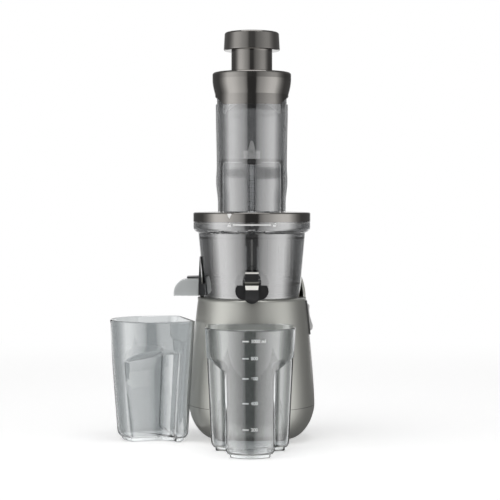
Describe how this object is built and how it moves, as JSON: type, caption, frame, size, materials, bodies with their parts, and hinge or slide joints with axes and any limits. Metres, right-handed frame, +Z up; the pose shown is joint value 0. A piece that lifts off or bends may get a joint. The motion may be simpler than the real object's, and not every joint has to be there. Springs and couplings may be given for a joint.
{
  "type": "cold press juicer",
  "caption": "Upright cold press juicer: motor base, clear bowl with auger and spinning brush, lid with feed chute and pusher, juice jug and pulp container.",
  "frame": {"origin": "on the floor under the centre line of the motor base, in the plane of the feet's undersides", "axes": "+Z up along the base's centre line, the juice outlet faces -Y and the pulp spout points to -X"},
  "size_m": [0.2513, 0.2488, 0.5],
  "materials": {
    "base_satin": "satin",
    "black_plastic": "matt",
    "rubber_black": "matt",
    "rubber_pale": "satin",
    "gunmetal": "glossy",
    "switch_chrome": "polished",
    "smoke_clear": "clear gloss",
    "clear": "clear gloss",
    "frosted": "frosted",
    "dark_resin": "satin",
    "auger_resin": "satin",
    "nylon": "satin",
    "silicone": "matt",
    "steel": "turned",
    "cast_alloy": "cast",
    "lamination": "bare",
    "copper": "enamelled",
    "bronze": "machined"
  },
  "bodies": {
    "base": {"base_shell": "base_satin", "base_dish": "base_satin", "feet": "rubber_black", "dish_screws": "steel", "cord_gland": "rubber_black", "rocker_frame": "black_plastic", "motor_bracket": "cast_alloy", "motor_stator": "lamination", "motor_windings": "copper", "gearbox_tray": "cast_alloy", "gearbox_cover": "cast_alloy", "shaft_bush": "bronze", "lay_pin": "steel", "deck_seal": "rubber_black"},
    "rocker": {"rocker_switch": "switch_chrome"},
    "rotor": {"motor_rotor": "steel", "cooling_fan": "black_plastic"},
    "lay": {"lay_gear": "nylon"},
    "output": {"output_gear": "steel", "drive_shaft": "steel"},
    "bowl": {"juice_bowl": "smoke_clear", "bowl_seal": "rubber_pale", "pulp_duct": "dark_resin", "strainer_frame": "dark_resin", "strainer_mesh": "steel", "cap_bracket": "black_plastic"},
    "spout": {"pulp_spout": "frosted"},
    "idler": {"brush_idler": "nylon"},
    "brush": {"brush_frame": "dark_resin", "brush_wipers": "silicone"},
    "auger_set": {"auger": "auger_resin", "auger_rod": "steel"},
    "lid": {"lid_ring": "gunmetal", "feed_chute": "smoke_clear", "lid_seal": "rubber_pale", "bearing_bridge": "smoke_clear", "bearing_cap": "steel"},
    "collar": {"feed_collar": "gunmetal", "collar_liner": "frosted"},
    "plunger": {"pusher": "gunmetal"},
    "cap": {"cap_rod": "steel", "outlet_cap": "rubber_black", "cap_plug": "rubber_black"},
    "jug": {"juice_jug": "clear"},
    "container": {"pulp_container": "clear"}
  },
  "joints": [
    {"name": "rocker_tilt", "type": "hinge", "parent": "base", "child": "rocker", "pos_m": [0.06566, 0, 0.14917], "axis": [0, 1, 0], "range_deg": [0, 14]},
    {"name": "motor_spin", "type": "hinge", "parent": "base", "child": "rotor", "pos_m": [0, 0, 0.05], "axis": [0, 0, 1], "continuous": true},
    {"name": "lay_spin", "type": "hinge", "parent": "base", "child": "lay", "pos_m": [0.032, 0, 0.1], "axis": [0, 0, 1], "continuous": true},
    {"name": "drive_spin", "type": "hinge", "parent": "base", "child": "output", "pos_m": [0, 0, 0.15], "axis": [0, 0, 1], "continuous": true},
    {"name": "bowl_lift", "type": "slide", "parent": "base", "child": "bowl", "axis": [0, 0, 1], "range_m": [0, 0.06]},
    {"name": "auger_spin", "type": "hinge", "parent": "bowl", "child": "auger_set", "pos_m": [0, 0, 0.21], "axis": [0, 0, 1], "continuous": true},
    {"name": "idler_spin", "type": "hinge", "parent": "bowl", "child": "idler", "pos_m": [0.024, 0, 0.2], "axis": [0, 0, 1], "continuous": true},
    {"name": "brush_spin", "type": "hinge", "parent": "bowl", "child": "brush", "pos_m": [0, 0, 0.2], "axis": [0, 0, 1], "continuous": true},
    {"name": "spout_pull", "type": "slide", "parent": "bowl", "child": "spout", "axis": [-1, 0, 0], "range_m": [0, 0.03]},
    {"name": "cap_swing", "type": "hinge", "parent": "bowl", "child": "cap", "pos_m": [0, -0.088, 0.1952], "axis": [-1, 0, 0], "range_deg": [0, 100]},
    {"name": "lid_twist", "type": "hinge", "parent": "bowl", "child": "lid", "pos_m": [0, 0, 0.266], "axis": [0, 0, 1], "range_deg": [0, 43]},
    {"name": "collar_lift", "type": "slide", "parent": "lid", "child": "collar", "axis": [0, 0, 1], "range_m": [0, 0.08]},
    {"name": "pusher_lift", "type": "slide", "parent": "collar", "child": "plunger", "axis": [0, 0, 1], "range_m": [0, 0.08]},
    {"name": "jug_pull", "type": "slide", "parent": "base", "child": "jug", "axis": [0, -1, 0], "range_m": [0, 0.12]},
    {"name": "container_pull", "type": "slide", "parent": "base", "child": "container", "axis": [-1, 0, 0], "range_m": [0, 0.12]}
  ],
  "couplings": [
    {"joint": "lay_spin", "follows": "motor_spin", "ratio": -0.23077},
    {"joint": "drive_spin", "follows": "motor_spin", "ratio": 0.064615},
    {"joint": "auger_spin", "follows": "motor_spin", "ratio": 0.064615},
    {"joint": "idler_spin", "follows": "motor_spin", "ratio": -0.10769},
    {"joint": "brush_spin", "follows": "motor_spin", "ratio": -0.029371}
  ]
}
